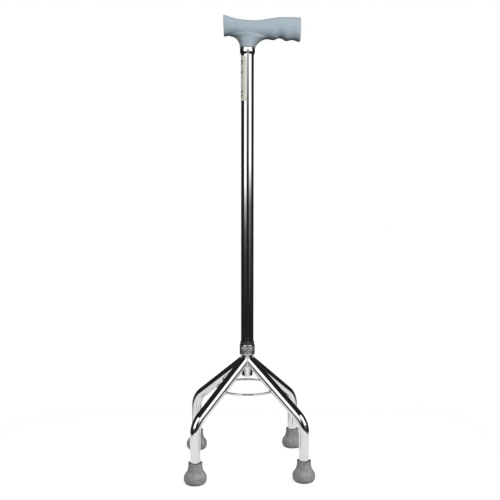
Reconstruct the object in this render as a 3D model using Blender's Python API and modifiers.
"""Quad walking cane: a chromed telescopic stick standing on four rubber-tipped legs.

Units are metres. The origin is on the ground under the shaft's axis. +X points along the grip
towards its nose, +Y points to the side of the snap button, and +Z is up.
The stick is drawn at its lowest setting: the shaft slides up on the centre post in steps.
"""

import math

import bmesh
import bpy
from mathutils import Matrix, Vector

# Overall sizes
SHAFT_DIAMETER = 0.022
FOOT_SPACING_X = 0.182
FOOT_SPACING_Y = 0.167
SADDLE_HEIGHT = 0.7766  # lowest point of the grip's top, above the ground
HUB_HEIGHT = 0.192  # where the four leg axes would meet the shaft's axis

# Clearances
FIT_GAP = 0.0003  # between pieces that touch
SLIDE_GAP = 0.0003  # between the shaft's bore and the post
COPE_GAP = 0.0003  # between a leg's shaped end and its neighbours

# Tubes
SHAFT_WALL = 0.0012
POST_WALL = 0.0015
LEG_DIAMETER = 0.0175
LEG_WALL = 0.0012
LEG_SLOPE = math.radians(37.1)  # of the upper stretch, below the horizontal
LEG_BEND_RADIUS = 0.036
LEG_BEND_STEPS = 7
LEG_START_RADIUS = 0.004  # start of the leg's axis, before its end is shaped to the post

# Brace ring
RING_WIRE = 0.004
RING_HEIGHT = 0.1387

# Post plug
POST_BELOW_HUB = 0.029
PLUG_HEAD = 0.0045
PLUG_RIM = 0.0016  # straight part of the plug's head, above its dome
PLUG_STEM = 0.012

# Rubber tips
TIP_HEIGHT = 0.035
TIP_WALL = 0.0026
TIP_LIP = 0.0006  # the rim's roll, wider than the neck just below it
TIP_UNDER_RIM = 0.0002  # how far the neck stands out just below the rim
TIP_NECK_SWELL = 0.0016
TIP_FLARE = 0.0074
TIP_SHOULDER = 0.021  # height where the neck meets the flare
TIP_FLARE_TOP = 0.0131
TIP_SOLE_CHAMFER = 0.0034
TIP_SOLE_EDGE = 0.0039
TIP_FLOOR = 0.0047
SOLE_GROOVE = 0.0012
SOLE_GROOVE_REACH = 0.55  # of the sole's radius
WASHER_THICKNESS = 0.001
WASHER_HOLE = 0.005

# Height adjustment
HOLE_COUNT = 7
HOLE_PITCH = 0.025
BUTTON_DIAMETER = 0.0066
BUTTON_HOLE_GAP = 0.0004
BUTTON_PROUD = 0.0026
BUTTON_DOME = 0.0016
BUTTON_FLANGE = 0.0009
BUTTON_FLANGE_THICKNESS = 0.0011
HOLE_ABOVE_BUSH = 0.025
POST_ABOVE_BUTTON = 0.045
SPRING_WIDTH = 0.007
SPRING_THICKNESS = 0.0005
SPRING_DROP = 0.032
SPRING_PINCH = 0.5  # the fold's width, of the spring's open width

# Lock nut, clamp ring and threaded bush
NUT_ABOVE_HUB = 0.0039
NUT_HEIGHT = 0.0202
NUT_WALL = 0.00095
NUT_FLOOR = 0.0024
NUT_TOP_CHAMFER = 0.0027
NUT_BOTTOM_CHAMFER = 0.0035
NUT_FOOT = 0.0006  # width of the flat ring that the nut ends in, round its hole
NUT_RIM = 0.0003  # width of the flat ring round the nut's open end
NUT_HOLE_GAP = 0.0004
THREAD_GAP = 0.00025
BUSH_WALL = 0.00085
BUSH_MOUTH_RIM = 0.0006
BUSH_LIP = 0.0002
BUSH_LIP_HEIGHT = 0.0046
BUSH_NECK = 0.0057
CLAMP_BASE = 0.0019
CONE_HEIGHT = 0.005  # of the bush's mouth, which the clamp ring is pushed into
CONE_END = 0.0006  # the cone's small end, wider than the bush's guiding bore
CLAMP_SLIT = 0.0015
LEG_TOP_BELOW_NUT = 0.0025  # leaves room for the loosened nut

# Handle
FERRULE_HEIGHT = 0.0118
FERRULE_TAPER = 0.004
FERRULE_SWELL = 0.0003  # it widens by this much from its top to its widest line
FERRULE_EDGE = 0.0005
FERRULE_FOOT = 0.0004  # width of the flat ring that it ends in
NECK_WALL = 0.0019
NECK_BELOW_SADDLE = 0.0456
SOCKET_BELOW_SADDLE = 0.0135
HEEL_REACH = 0.0414
NOSE_REACH = 0.0911
HEEL_LEAN = 0.0011  # the heel's end leans out by this much at its top
NOSE_LEAN = -0.0009
HEEL_FLARE = (0.0178, 0.0194)  # length and height of the arch between neck and heel
NOSE_FLARE = (0.016, 0.0158)  # length and height of the sweep between neck and grip
NECK_LEAN = 0.45  # the neck's nose side leans out by this share of its rise
NECK_TOP_SHARE = 0.9  # width of the neck's hidden top, of its width below
GRIP_EDGE = 0.0012
GRIP_EDGE_DEPTH = 0.0007
GRIP_SQUARENESS = 2.7  # 2 is a plain ellipse
GROOVE_PITCH = 0.0228
GROOVE_MIDDLE = 0.0559  # of the middle one of the three finger grooves
GROOVE_DEPTHS = (0.0010, 0.0037, 0.0022)  # from the neck to the nose
CREST_BELOW_SADDLE = 0.0325  # of the line through the crests, at the middle groove
CREST_SLOPE = 0.0545  # it drops by this share towards the nose
SCREW_DIAMETER = 0.003
SCREW_HEAD = 0.0062
SCREW_HEAD_HEIGHT = 0.0018
SCREW_SUNK = 0.0012  # depth of the head's seat in the neck
SCREW_PAST_WALL = 0.003
SCREW_POINT = 0.0015
SCREW_SLOT = (0.004, 0.0008, 0.001)  # length, width and depth
SCREW_ABOVE_NECK = 0.010

# Label
LABEL_BELOW_FERRULE = 0.0026
LABEL_LENGTH = 0.0763
LABEL_THICKNESS = 0.0002
LABEL_GAP = 0.00015
LABEL_FROM = math.radians(-104.5)  # seen from above, anticlockwise from +X
LABEL_SWEEP = math.radians(-118.0)

# How finely round shapes are cut
ROUND_STEPS = 36
TIP_STEPS = 28
SMALL_STEPS = 20
LEG_BEVEL_RESOLUTION = 8
RING_STEPS = 48
WIRE_STEPS = 8
GRIP_STATIONS = 38
GRIP_AROUND = 20
NECK_LEVELS = 10
DOME_STEPS = 4
FOLD_STEPS = 8
LABEL_STEPS = 16
MERGE_DISTANCE = 0.00001
SHARP_ANGLE = math.radians(35)

# Sizes worked out from the ones above
SHAFT_RADIUS = SHAFT_DIAMETER / 2
SHAFT_BORE = SHAFT_RADIUS - SHAFT_WALL
POST_RADIUS = SHAFT_BORE - SLIDE_GAP
POST_BORE = POST_RADIUS - POST_WALL
LEG_RADIUS = LEG_DIAMETER / 2
FOOT_REACH = math.hypot(FOOT_SPACING_X, FOOT_SPACING_Y) / 2
NUT_BOTTOM = HUB_HEIGHT + NUT_ABOVE_HUB
NUT_TOP = NUT_BOTTOM + NUT_HEIGHT
BUSH_TOP = NUT_TOP + BUSH_LIP_HEIGHT + FIT_GAP
BUSH_RADIUS = SHAFT_RADIUS + THREAD_GAP + BUSH_WALL
BUSH_BOTTOM = NUT_BOTTOM + NUT_FLOOR + CLAMP_BASE + 2 * FIT_GAP
BUSH_SHOULDER = BUSH_BOTTOM + BUSH_NECK
BUSH_MOUTH = BUSH_RADIUS - BUSH_MOUTH_RIM
GUIDE_RADIUS = POST_RADIUS + FIT_GAP
SHAFT_BOTTOM = BUSH_SHOULDER + FIT_GAP
BUTTON_HEIGHT = BUSH_TOP + HOLE_ABOVE_BUSH + (HOLE_COUNT - 1) * HOLE_PITCH
POST_TOP = BUTTON_HEIGHT + POST_ABOVE_BUTTON
POST_BOTTOM = HUB_HEIGHT - POST_BELOW_HUB
NECK_BOTTOM = SADDLE_HEIGHT - NECK_BELOW_SADDLE
NECK_RADIUS = SHAFT_RADIUS + FIT_GAP + NECK_WALL
SOCKET_TOP = SADDLE_HEIGHT - SOCKET_BELOW_SADDLE
FERRULE_TOP = NECK_BOTTOM - FIT_GAP
FERRULE_BOTTOM = FERRULE_TOP - FERRULE_HEIGHT

# Colours (linear) with roughness and metallic values
CHROME = ("chromed_steel", (0.80, 0.81, 0.82), 0.08, 1.0)
STEEL = ("plated_steel", (0.55, 0.56, 0.57), 0.30, 1.0)
GRIP_PLASTIC = ("blue_grey_plastic", (0.38, 0.50, 0.58), 0.55, 0.0)
NUT_METAL = ("satin_nickel", (0.60, 0.60, 0.59), 0.25, 1.0)
BUSH_PLASTIC = ("dark_plastic", (0.05, 0.05, 0.05), 0.45, 0.0)
TIP_RUBBER = ("grey_rubber", (0.27, 0.28, 0.28), 0.80, 0.0)
LABEL_PAPER = ("label_film", (0.73, 0.76, 0.62), 0.60, 0.0)


def clear_scene():
    """Remove everything that the file holds."""
    for item in list(bpy.data.objects):
        bpy.data.objects.remove(item, do_unlink=True)


def new_collection(name):
    """Return a new collection linked to the scene."""
    collection = bpy.data.collections.new(name)
    bpy.context.scene.collection.children.link(collection)
    return collection


def material(finish):
    """Return the material of a finish, made the first time it is asked for."""
    name, colour, roughness, metallic = finish
    found = bpy.data.materials.get(name)
    if found:
        return found
    made = bpy.data.materials.new(name)
    made.use_nodes = True
    shader = made.node_tree.nodes["Principled BSDF"]
    shader.inputs["Base Color"].default_value = (*colour, 1.0)
    shader.inputs["Roughness"].default_value = roughness
    shader.inputs["Metallic"].default_value = metallic
    return made


def new_object(name, mesh, collection):
    """Return a new object that holds the mesh."""
    made = bpy.data.objects.new(name, mesh)
    collection.objects.link(made)
    return made


def mesh_from(name, bm):
    """Write a bmesh to a new mesh and free it."""
    mesh = bpy.data.meshes.new(name)
    bm.to_mesh(mesh)
    bm.free()
    return mesh


def joint_frame(name, height=0.0, parent=None):
    """Return an empty on a joint's axis, at a height on the shaft's axis."""
    empty = bpy.data.objects.new(name, None)
    parts.objects.link(empty)
    place = Vector((0.0, 0.0, height))
    if parent:
        empty.parent = parent
        place -= world_place(parent)
    empty.location = place
    return empty


def world_place(item):
    """Return an unturned object's place in the world, down its chain of parents."""
    place = item.location.copy()
    while item.parent:
        item = item.parent
        place += item.location
    return place


def attach(item, frame, finish):
    """Parent a piece to its joint's frame without moving it, and give it its finish."""
    item.parent = frame
    item.location -= world_place(frame)
    item.data.materials.clear()
    item.data.materials.append(material(finish))
    return item


def freeze(item, smooth=True):
    """Replace a piece's shape by the mesh that its curve or modifiers make, with welded seams."""
    graph = bpy.context.evaluated_depsgraph_get()
    mesh = bpy.data.meshes.new_from_object(item.evaluated_get(graph))
    bm = bmesh.new()
    bm.from_mesh(mesh)
    bmesh.ops.remove_doubles(bm, verts=bm.verts, dist=MERGE_DISTANCE)
    bm.to_mesh(mesh)
    bm.free()
    if smooth:
        mesh.shade_smooth()
        mesh.set_sharp_from_angle(angle=SHARP_ANGLE)
    name = item.name
    collection = item.users_collection[0]
    matrix = item.matrix_world.copy()
    bpy.data.objects.remove(item, do_unlink=True)
    made = new_object(name, mesh, collection)
    made.matrix_world = matrix
    return made


def turned(name, outline, steps=ROUND_STEPS, closed=True):
    """Turn an outline of (radius, height) points about Z; its outer side runs from top to bottom."""
    bm = bmesh.new()
    points = [bm.verts.new((radius, 0.0, height)) for radius, height in outline]
    for start, end in zip(points, points[1:]):
        bm.edges.new((start, end))
    if closed:
        bm.edges.new((points[-1], points[0]))
    item = new_object(name, mesh_from(name, bm), parts)
    screw = item.modifiers.new("turn", "SCREW")
    screw.steps = steps
    screw.render_steps = steps
    screw.use_merge_vertices = True
    screw.merge_threshold = MERGE_DISTANCE
    return freeze(item)


def cutter_from(name, bm):
    """Return a cutter that the Boolean modifiers use."""
    item = new_object(name, mesh_from(name, bm), cutters)
    item.hide_render = True
    item.display_type = "WIRE"
    return item


def cylinder_cutter(name, radius, start, end, steps=ROUND_STEPS):
    """Return a cylinder cutter between two points."""
    start = Vector(start)
    end = Vector(end)
    axis = end - start
    turn = axis.to_track_quat("Z", "Y").to_matrix().to_4x4()
    bm = bmesh.new()
    bmesh.ops.create_cone(
        bm,
        cap_ends=True,
        segments=steps,
        radius1=radius,
        radius2=radius,
        depth=axis.length,
        matrix=Matrix.Translation((start + end) / 2) @ turn,
    )
    return cutter_from(name, bm)


def box_cutter(name, low, high):
    """Return a box cutter between two corners."""
    low = Vector(low)
    high = Vector(high)
    bm = bmesh.new()
    size = Matrix.Diagonal((high - low).to_4d())
    bmesh.ops.create_cube(bm, size=1.0, matrix=Matrix.Translation((low + high) / 2) @ size)
    return cutter_from(name, bm)


def combine(item, other, operation="DIFFERENCE"):
    """Cut, join or intersect a piece with another object."""
    boolean = item.modifiers.new(other.name, "BOOLEAN")
    boolean.operation = operation
    boolean.solver = "EXACT"
    boolean.object = other


def ring_outline(inner, outer, bottom, top):
    """Return the outline of a plain ring."""
    return [(inner, bottom), (inner, top), (outer, top), (outer, bottom)]


def make_post(frame):
    """Make the centre post, with the hole that the snap button looks out of."""
    post = turned("center_post", ring_outline(POST_BORE, POST_RADIUS, POST_BOTTOM, POST_TOP))
    hole = cylinder_cutter(
        "post_button_hole",
        BUTTON_DIAMETER / 2 + BUTTON_HOLE_GAP,
        (0.0, POST_BORE / 2, BUTTON_HEIGHT),
        (0.0, POST_RADIUS * 2, BUTTON_HEIGHT),
        SMALL_STEPS,
    )
    combine(post, hole)
    return attach(post, frame, CHROME)


def make_plug(frame):
    """Make the domed plug that closes the post's lower end."""
    top = POST_BOTTOM - FIT_GAP
    stem = POST_BORE - FIT_GAP
    rim = POST_RADIUS
    rim_bottom = top - PLUG_RIM
    outline = [(0.0, top + PLUG_STEM), (stem, top + PLUG_STEM), (stem, top), (rim, top)]
    for step in range(DOME_STEPS):
        angle = math.radians(90 * step / DOME_STEPS)
        drop = (PLUG_HEAD - PLUG_RIM) * math.sin(angle)
        outline.append((rim * math.cos(angle), rim_bottom - drop))
    outline.append((0.0, top - PLUG_HEAD))
    return attach(turned("post_plug", outline, closed=False), frame, STEEL)


def leg_axis(azimuth):
    """Return the points of a leg's axis: down the slope, round the bend and down to the ground."""
    turn = math.pi / 2 - LEG_SLOPE
    tangent = LEG_BEND_RADIUS * math.tan(turn / 2)
    corner = HUB_HEIGHT - math.tan(LEG_SLOPE) * FOOT_REACH
    centre_reach = FOOT_REACH - LEG_BEND_RADIUS
    centre_height = corner - tangent
    profile = [(LEG_START_RADIUS, HUB_HEIGHT - math.tan(LEG_SLOPE) * LEG_START_RADIUS)]
    for step in range(LEG_BEND_STEPS + 1):
        angle = turn * (1 - step / LEG_BEND_STEPS)
        reach = centre_reach + LEG_BEND_RADIUS * math.cos(angle)
        profile.append((reach, centre_height + LEG_BEND_RADIUS * math.sin(angle)))
    profile.append((FOOT_REACH, TIP_FLOOR + WASHER_THICKNESS + 2 * FIT_GAP))
    return [(r * math.cos(azimuth), r * math.sin(azimuth), height) for r, height in profile]


def make_leg(name, side_x, side_y, frame):
    """Make one bent leg tube, its upper end shaped to the post and to the legs beside it."""
    azimuth = math.atan2(side_y * FOOT_SPACING_Y, side_x * FOOT_SPACING_X)
    points = leg_axis(azimuth)
    curve = bpy.data.curves.new(name, "CURVE")
    curve.dimensions = "3D"
    curve.bevel_depth = LEG_RADIUS
    curve.bevel_resolution = LEG_BEVEL_RESOLUTION
    spline = curve.splines.new("POLY")
    spline.points.add(len(points) - 1)
    for point, place in zip(spline.points, points):
        point.co = (*place, 1.0)
    leg = freeze(new_object(name, curve, parts), smooth=False)
    wall = leg.modifiers.new("wall", "SOLIDIFY")
    wall.thickness = LEG_WALL
    wall.offset = -1.0
    wall.use_even_offset = True
    leg = freeze(leg)
    far = 2 * FOOT_REACH
    near = COPE_GAP / 2
    top = NUT_BOTTOM - LEG_TOP_BELOW_NUT
    ends_x = sorted((side_x * near, side_x * far))
    ends_y = sorted((side_y * near, side_y * far))
    quarter = box_cutter(
        name + "_quarter", (ends_x[0], ends_y[0], -TIP_HEIGHT), (ends_x[1], ends_y[1], top)
    )
    combine(leg, quarter, "INTERSECT")
    combine(leg, post_cope)
    return attach(leg, frame, CHROME)


def make_ring(frame):
    """Make the wire ring that rests against the inner sides of the four legs."""
    reach_of_axis = (HUB_HEIGHT - RING_HEIGHT) / math.tan(LEG_SLOPE)
    clear = (LEG_RADIUS + RING_WIRE / 2 + FIT_GAP) / math.sin(LEG_SLOPE)
    bpy.ops.mesh.primitive_torus_add(
        major_segments=RING_STEPS,
        minor_segments=WIRE_STEPS,
        major_radius=reach_of_axis - clear,
        minor_radius=RING_WIRE / 2,
        location=(0.0, 0.0, RING_HEIGHT),
    )
    ring = bpy.context.object
    ring.name = "brace_ring"
    for holder in list(ring.users_collection):
        holder.objects.unlink(ring)
    parts.objects.link(ring)
    ring.data.shade_smooth()
    return attach(ring, frame, CHROME)


def make_tip(name, side_x, side_y, frame):
    """Make one rubber tip: a cup for the leg's end on a flared foot with a grooved sole."""
    bore = LEG_RADIUS + FIT_GAP
    neck = bore + TIP_WALL
    flare = neck + TIP_FLARE
    sole = flare - TIP_SOLE_CHAMFER
    groove = sole * SOLE_GROOVE_REACH
    groove_edge = groove + SOLE_GROOVE
    rim = neck + TIP_LIP
    rim_bottom = TIP_HEIGHT - TIP_WALL
    outline = [(0.0, TIP_FLOOR), (bore, TIP_FLOOR), (bore, TIP_HEIGHT)]
    outline += [(rim - TIP_LIP, TIP_HEIGHT), (rim, TIP_HEIGHT - TIP_LIP), (rim, rim_bottom)]
    outline += [(neck + TIP_UNDER_RIM, rim_bottom - TIP_LIP)]
    outline += [(neck + TIP_NECK_SWELL, TIP_SHOULDER), (flare, TIP_FLARE_TOP)]
    outline += [(flare, TIP_SOLE_EDGE), (sole, 0.0), (groove_edge, 0.0)]
    outline += [(groove_edge, SOLE_GROOVE), (groove, SOLE_GROOVE), (groove, 0.0), (0.0, 0.0)]
    tip = turned(name, outline, TIP_STEPS, closed=False)
    tip.location = (side_x * FOOT_SPACING_X / 2, side_y * FOOT_SPACING_Y / 2, 0.0)
    return attach(tip, frame, TIP_RUBBER)


def make_washer(name, side_x, side_y, frame):
    """Make the steel washer that keeps a leg's end from cutting through its tip."""
    bottom = TIP_FLOOR + FIT_GAP
    outline = ring_outline(WASHER_HOLE / 2, LEG_RADIUS, bottom, bottom + WASHER_THICKNESS)
    washer = turned(name, outline, SMALL_STEPS)
    washer.location = (side_x * FOOT_SPACING_X / 2, side_y * FOOT_SPACING_Y / 2, 0.0)
    return attach(washer, frame, STEEL)


def make_button(frame):
    """Make the snap button, its head through the post and the shaft, its flange inside the post."""
    radius = BUTTON_DIAMETER / 2
    flange = radius + BUTTON_FLANGE
    flange_top = math.sqrt(POST_BORE**2 - flange**2) - FIT_GAP
    tip = SHAFT_RADIUS + BUTTON_PROUD
    outline = [(0.0, tip)]
    for step in range(1, DOME_STEPS + 1):
        angle = math.radians(90 * step / DOME_STEPS)
        outline.append((radius * math.sin(angle), tip - BUTTON_DOME * (1 - math.cos(angle))))
    outline += [(radius, flange_top), (flange, flange_top)]
    outline += [(flange, flange_top - BUTTON_FLANGE_THICKNESS)]
    outline += [(0.0, flange_top - BUTTON_FLANGE_THICKNESS)]
    button = turned("snap_button", outline, SMALL_STEPS, closed=False)
    button.rotation_euler = (math.radians(-90), 0.0, 0.0)
    button.location = (0.0, 0.0, BUTTON_HEIGHT)
    return attach(button, frame, STEEL)


def make_spring(frame):
    """Make the folded leaf spring that pushes the snap button outwards inside the post."""
    half = SPRING_WIDTH / 2
    flange = BUTTON_DIAMETER / 2 + BUTTON_FLANGE
    back = math.sqrt(POST_BORE**2 - flange**2) - FIT_GAP - BUTTON_FLANGE_THICKNESS
    near = back - FIT_GAP - SPRING_THICKNESS
    far = -math.sqrt(POST_BORE**2 - half**2) + FIT_GAP + SPRING_THICKNESS
    middle = (near + far) / 2
    bend = (near - far) / 2 * SPRING_PINCH
    fold = BUTTON_HEIGHT - SPRING_DROP
    path = [(near, BUTTON_HEIGHT + flange)]
    for step in range(FOLD_STEPS + 1):
        angle = math.radians(180 * step / FOLD_STEPS)
        path.append((middle + bend * math.cos(angle), fold - bend * math.sin(angle)))
    path.append((far, BUTTON_HEIGHT + flange))
    bm = bmesh.new()
    rows = [[bm.verts.new((x, y, z)) for x in (-half, half)] for y, z in path]
    for one, two in zip(rows, rows[1:]):
        bm.faces.new((one[0], one[1], two[1], two[0]))
    spring = new_object("snap_spring", mesh_from("snap_spring", bm), parts)
    leaf = spring.modifiers.new("leaf", "SOLIDIFY")
    leaf.thickness = SPRING_THICKNESS
    leaf.offset = 0.0
    return attach(freeze(spring, smooth=False), frame, STEEL)


def make_shaft(frame):
    """Make the shaft tube, with the row of adjusting holes on its button side."""
    top = SOCKET_TOP - FIT_GAP
    shaft = turned("shaft_tube", ring_outline(SHAFT_BORE, SHAFT_RADIUS, SHAFT_BOTTOM, top))
    for index in range(HOLE_COUNT):
        height = BUTTON_HEIGHT - index * HOLE_PITCH
        hole = cylinder_cutter(
            f"shaft_hole_{index + 1}",
            BUTTON_DIAMETER / 2 + BUTTON_HOLE_GAP,
            (0.0, SHAFT_BORE / 2, height),
            (0.0, SHAFT_RADIUS * 2, height),
            SMALL_STEPS,
        )
        combine(shaft, hole)
    screw_height = NECK_BOTTOM + SCREW_ABOVE_NECK
    hole = cylinder_cutter(
        "shaft_screw_hole",
        SCREW_DIAMETER / 2 + FIT_GAP,
        (0.0, SHAFT_BORE / 2, screw_height),
        (0.0, SHAFT_RADIUS * 2, screw_height),
        SMALL_STEPS,
    )
    combine(shaft, hole)
    return attach(shaft, frame, CHROME)


def make_bush(frame):
    """Make the threaded bush: a socket for the shaft's end above a coned mouth for the clamp ring."""
    outer = BUSH_RADIUS
    socket = SHAFT_RADIUS + THREAD_GAP
    cone_top = BUSH_BOTTOM + CONE_HEIGHT
    lip = outer + BUSH_LIP
    lip_bottom = BUSH_TOP - BUSH_LIP_HEIGHT
    outline = [(GUIDE_RADIUS + CONE_END, cone_top), (GUIDE_RADIUS, cone_top)]
    outline += [(GUIDE_RADIUS, BUSH_SHOULDER), (socket, BUSH_SHOULDER), (socket, BUSH_TOP)]
    outline += [(lip - BUSH_LIP, BUSH_TOP), (lip, BUSH_TOP - BUSH_LIP), (lip, lip_bottom)]
    outline += [(outer, lip_bottom), (outer, BUSH_BOTTOM), (BUSH_MOUTH, BUSH_BOTTOM)]
    return attach(turned("collar_bush", outline), frame, BUSH_PLASTIC)


def make_clamp_ring(frame):
    """Make the split, coned ring that the nut pushes into the bush to grip the post."""
    bottom = NUT_BOTTOM + NUT_FLOOR + FIT_GAP
    top = BUSH_BOTTOM + CONE_HEIGHT - FIT_GAP
    base = BUSH_RADIUS - THREAD_GAP
    base_top = bottom + CLAMP_BASE
    outline = [(GUIDE_RADIUS, bottom), (GUIDE_RADIUS, top), (GUIDE_RADIUS + CONE_END - FIT_GAP, top)]
    outline += [(BUSH_MOUTH - FIT_GAP, base_top), (base, base_top), (base, bottom)]
    ring = turned("clamp_ring", outline)
    slit = box_cutter(
        "clamp_slit",
        (-CLAMP_SLIT / 2, POST_RADIUS / 2, bottom - FIT_GAP),
        (CLAMP_SLIT / 2, base * 2, top + FIT_GAP),
    )
    combine(ring, slit)
    return attach(ring, frame, BUSH_PLASTIC)


def make_nut(frame):
    """Make the lock nut: a sleeve with chamfered ends and a floor under the clamp ring."""
    bore = BUSH_RADIUS + THREAD_GAP
    outer = bore + NUT_WALL
    hole = POST_RADIUS + NUT_HOLE_GAP
    floor = NUT_BOTTOM + NUT_FLOOR
    outline = [(hole, NUT_BOTTOM), (hole, floor), (bore, floor), (bore, NUT_TOP)]
    outline += [(bore + NUT_RIM, NUT_TOP), (outer, NUT_TOP - NUT_TOP_CHAMFER)]
    outline += [(outer, NUT_BOTTOM + NUT_BOTTOM_CHAMFER), (hole + NUT_FOOT, NUT_BOTTOM)]
    return attach(turned("lock_nut", outline), frame, NUT_METAL)


def make_ferrule(frame):
    """Make the chromed ferrule round the shaft under the handle's neck."""
    bore = SHAFT_RADIUS + FIT_GAP
    top = FERRULE_TOP
    bottom = FERRULE_BOTTOM
    waist = NECK_RADIUS - FERRULE_SWELL
    widest = bottom + FERRULE_TAPER
    outline = [(bore, bottom), (bore, top), (waist - FERRULE_EDGE, top), (waist, top - FERRULE_EDGE)]
    outline += [(NECK_RADIUS, widest), (waist, widest - FERRULE_EDGE), (bore + FERRULE_FOOT, bottom)]
    return attach(turned("handle_ferrule", outline), frame, CHROME)


def smooth_through(knots, x):
    """Return the height at x of a smooth curve through knots of (x, height)."""
    last = len(knots) - 1
    index = 0
    while index < last - 1 and x > knots[index + 1][0]:
        index += 1
    slopes = []
    for knot in (index, index + 1):
        before = knots[max(knot - 1, 0)]
        after = knots[min(knot + 1, last)]
        slopes.append((after[1] - before[1]) / (after[0] - before[0]))
    (x0, y0), (x1, y1) = knots[index], knots[index + 1]
    run = x1 - x0
    t = (x - x0) / run
    rise = y0 * (1 + 2 * t) * (1 - t) ** 2 + y1 * t * t * (3 - 2 * t)
    return rise + run * (slopes[0] * t * (1 - t) ** 2 - slopes[1] * t * t * (1 - t))


def grip_top(x):
    """Return the height of the grip's top above the saddle."""
    knots = [(-HEEL_REACH, 0.0089), (-0.0150, 0.0020), (0.009, 0.0), (0.040, 0.0038)]
    knots += [(0.064, 0.0065), (NOSE_REACH, 0.0060)]
    return smooth_through(knots, x)


def grip_bottom(x):
    """Return the height of the grip's underside above the saddle, with the finger grooves."""
    first_groove = GROOVE_MIDDLE - GROOVE_PITCH
    if x < first_groove:
        knots = [(-HEEL_REACH, -0.0271), (-0.030, -0.0255), (0.0, -0.0290)]
        knots.append((first_groove, grip_bottom(first_groove)))
        return smooth_through(knots, x)
    pitches = (x - GROOVE_MIDDLE) / GROOVE_PITCH
    depth = GROOVE_DEPTHS[min(round(pitches) + 1, len(GROOVE_DEPTHS) - 1)]
    crests = CREST_BELOW_SADDLE + CREST_SLOPE * (x - GROOVE_MIDDLE)
    return depth * (1 + math.cos(2 * math.pi * pitches)) / 2 - crests


def grip_half_width(x):
    """Return half the grip's width."""
    knots = [(-HEEL_REACH, 0.0135), (0.0, 0.0150), (0.055, 0.0152), (NOSE_REACH, 0.0138)]
    return smooth_through(knots, x)


def oval(centre, half_across, half_up, power, steps):
    """Return points round an oval; a higher power makes it squarer."""
    points = []
    for step in range(steps):
        angle = 2 * math.pi * step / steps
        across = math.copysign(abs(math.cos(angle)) ** (2 / power), math.cos(angle))
        up = math.copysign(abs(math.sin(angle)) ** (2 / power), math.sin(angle))
        points.append((centre[0] + half_across * across, centre[1] + half_up * up))
    return points


def loft(name, rings):
    """Return an object whose surface joins the rings of points in order, with flat ends."""
    bm = bmesh.new()
    rows = [[bm.verts.new(point) for point in ring] for ring in rings]
    count = len(rows[0])
    for one, two in zip(rows, rows[1:]):
        for index in range(count):
            after = (index + 1) % count
            bm.faces.new((one[index], one[after], two[after], two[index]))
    bm.faces.new(list(reversed(rows[0])))
    bm.faces.new(rows[-1])
    bmesh.ops.recalc_face_normals(bm, faces=bm.faces)
    mesh = mesh_from(name, bm)
    mesh.shade_smooth()
    mesh.set_sharp_from_angle(angle=SHARP_ANGLE)
    return new_object(name, mesh, parts)


def grip_rings():
    """Return the grip's cross-sections from the heel to the nose."""
    length = HEEL_REACH + NOSE_REACH
    stations = [-HEEL_REACH]
    stations += [
        GRIP_EDGE - HEEL_REACH + (length - 2 * GRIP_EDGE) * step / GRIP_STATIONS
        for step in range(GRIP_STATIONS + 1)
    ]
    stations.append(NOSE_REACH)
    rings = []
    for index, x in enumerate(stations):
        ending = index in (0, len(stations) - 1)
        inset = GRIP_EDGE_DEPTH if ending else 0.0
        top = SADDLE_HEIGHT + grip_top(x) - inset
        bottom = SADDLE_HEIGHT + grip_bottom(x) + inset
        lean = HEEL_LEAN + (NOSE_LEAN - HEEL_LEAN) * (x + HEEL_REACH) / length
        half_up = (top - bottom) / 2
        centre = (0.0, (top + bottom) / 2)
        half_width = grip_half_width(x) - inset
        section = oval(centre, half_width, half_up, GRIP_SQUARENESS, GRIP_AROUND)
        rings.append([(x + lean * (top - z) / (top - bottom), y, z) for y, z in section])
    return rings


def neck_rings():
    """Return the neck's cross-sections from the ferrule up into the grip."""
    heel_length, heel_height = HEEL_FLARE
    nose_length, nose_height = NOSE_FLARE
    rings = []
    for step in range(NECK_LEVELS + 1):
        rise = heel_height * math.sin(math.radians(90 * step / NECK_LEVELS))
        heel = 1 - math.sqrt(max(0.0, 1 - (rise / heel_height) ** 2))
        nose = 1 - math.sqrt(max(0.0, 1 - min(1.0, rise / nose_height) ** 2))
        low = -NECK_RADIUS - heel_length * heel
        high = NECK_RADIUS + NECK_LEAN * rise + nose_length * nose
        section = oval(((low + high) / 2, 0.0), (high - low) / 2, NECK_RADIUS, 2.0, ROUND_STEPS)
        rings.append([(x, y, NECK_BOTTOM + rise) for x, y in section])
    inside = NECK_BOTTOM + heel_height + NECK_WALL * 2
    rings.append([(x, y * NECK_TOP_SHARE, inside) for x, y, z in rings[-1]])
    return rings


def make_handle(frame):
    """Make the moulded handle: grip and neck in one, with a blind socket for the shaft."""
    grip = loft("handle_grip", grip_rings())
    neck = loft("handle_neck", neck_rings())
    combine(grip, neck, "UNION")
    grip = freeze(grip)
    bpy.data.objects.remove(neck, do_unlink=True)
    socket = cylinder_cutter(
        "handle_socket",
        SHAFT_RADIUS + FIT_GAP,
        (0.0, 0.0, NECK_BOTTOM - NECK_WALL),
        (0.0, 0.0, SOCKET_TOP),
    )
    combine(grip, socket)
    screw_height = NECK_BOTTOM + SCREW_ABOVE_NECK
    shank = cylinder_cutter(
        "handle_screw_hole",
        SCREW_DIAMETER / 2 + FIT_GAP,
        (0.0, SHAFT_RADIUS / 2, screw_height),
        (0.0, NECK_RADIUS * 2, screw_height),
        SMALL_STEPS,
    )
    combine(grip, shank)
    seat = cylinder_cutter(
        "handle_screw_seat",
        SCREW_HEAD / 2 + FIT_GAP,
        (0.0, NECK_RADIUS - SCREW_SUNK, screw_height),
        (0.0, NECK_RADIUS * 2, screw_height),
        SMALL_STEPS,
    )
    combine(grip, seat)
    return attach(grip, frame, GRIP_PLASTIC)


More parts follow.
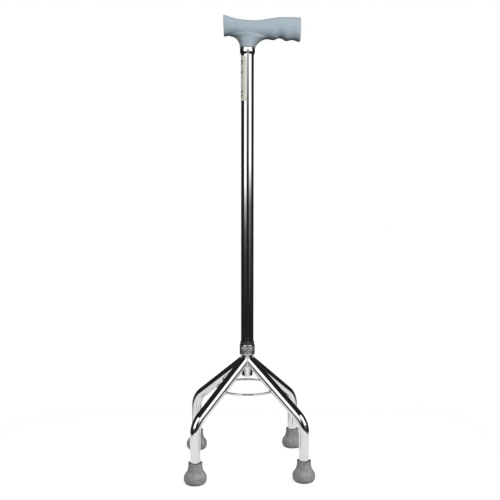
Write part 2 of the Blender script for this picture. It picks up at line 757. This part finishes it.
def make_screw(frame):
    """Make the pan-head screw that pins the handle's neck to the shaft."""
    shank = SCREW_DIAMETER / 2
    head = SCREW_HEAD / 2
    seat = NECK_RADIUS - SCREW_SUNK + FIT_GAP
    top = seat + SCREW_HEAD_HEIGHT
    point = SHAFT_BORE - SCREW_PAST_WALL
    outline = [(0.0, top), (head * 0.6, top), (head * 0.92, seat + SCREW_HEAD_HEIGHT * 0.6)]
    outline += [(head, seat), (shank, seat), (shank, point + SCREW_POINT), (0.0, point)]
    screw = turned("handle_screw", outline, SMALL_STEPS, closed=False)
    screw.rotation_euler = (math.radians(-90), 0.0, 0.0)
    screw.location = (0.0, 0.0, NECK_BOTTOM + SCREW_ABOVE_NECK)
    slot_length, slot_width, slot_depth = SCREW_SLOT
    height = NECK_BOTTOM + SCREW_ABOVE_NECK
    slot = box_cutter(
        "screw_slot",
        (-slot_length / 2, top - slot_depth, height - slot_width / 2),
        (slot_length / 2, top + slot_depth, height + slot_width / 2),
    )
    combine(screw, slot)
    return attach(screw, frame, STEEL)


def make_label(frame):
    """Make the thin label wrapped part of the way round the shaft below the ferrule."""
    inner = SHAFT_RADIUS + LABEL_GAP
    top = FERRULE_BOTTOM - LABEL_BELOW_FERRULE
    bm = bmesh.new()
    rows = []
    for step in range(LABEL_STEPS + 1):
        angle = LABEL_FROM + LABEL_SWEEP * step / LABEL_STEPS
        x = inner * math.cos(angle)
        y = inner * math.sin(angle)
        rows.append([bm.verts.new((x, y, z)) for z in (top - LABEL_LENGTH, top)])
    for one, two in zip(rows, rows[1:]):
        bm.faces.new((one[0], one[1], two[1], two[0]))
    label = new_object("label", mesh_from("label", bm), parts)
    film = label.modifiers.new("film", "SOLIDIFY")
    film.thickness = LABEL_THICKNESS
    film.offset = 1.0
    return attach(freeze(label), frame, LABEL_PAPER)


clear_scene()
parts = new_collection("quad_walking_cane")
cutters = new_collection("cutters")

base = joint_frame("base_frame")
upper = joint_frame("height_slide_axis", height=SHAFT_BOTTOM, parent=base)
press = joint_frame("button_press_axis", height=BUTTON_HEIGHT, parent=base)
clamp = joint_frame("clamp_slide_axis", height=NUT_BOTTOM + NUT_FLOOR, parent=upper)
turn_axis = joint_frame("nut_turn_axis", height=NUT_BOTTOM, parent=clamp)

post_cope = cylinder_cutter(
    "post_cope",
    POST_RADIUS + COPE_GAP,
    (0.0, 0.0, POST_BOTTOM - LEG_DIAMETER),
    (0.0, 0.0, NUT_TOP),
)
make_post(base)
make_plug(base)
make_ring(base)
for end_y, side_y in (("front", -1), ("rear", 1)):
    for end_x, side_x in (("left", -1), ("right", 1)):
        make_leg(f"leg_{end_y}_{end_x}", side_x, side_y, base)
        make_tip(f"tip_{end_y}_{end_x}", side_x, side_y, base)
        make_washer(f"tip_washer_{end_y}_{end_x}", side_x, side_y, base)
make_spring(base)
make_button(press)
make_shaft(upper)
make_bush(upper)
make_handle(upper)
make_ferrule(upper)
make_screw(upper)
make_label(upper)
make_clamp_ring(clamp)
make_nut(turn_axis)
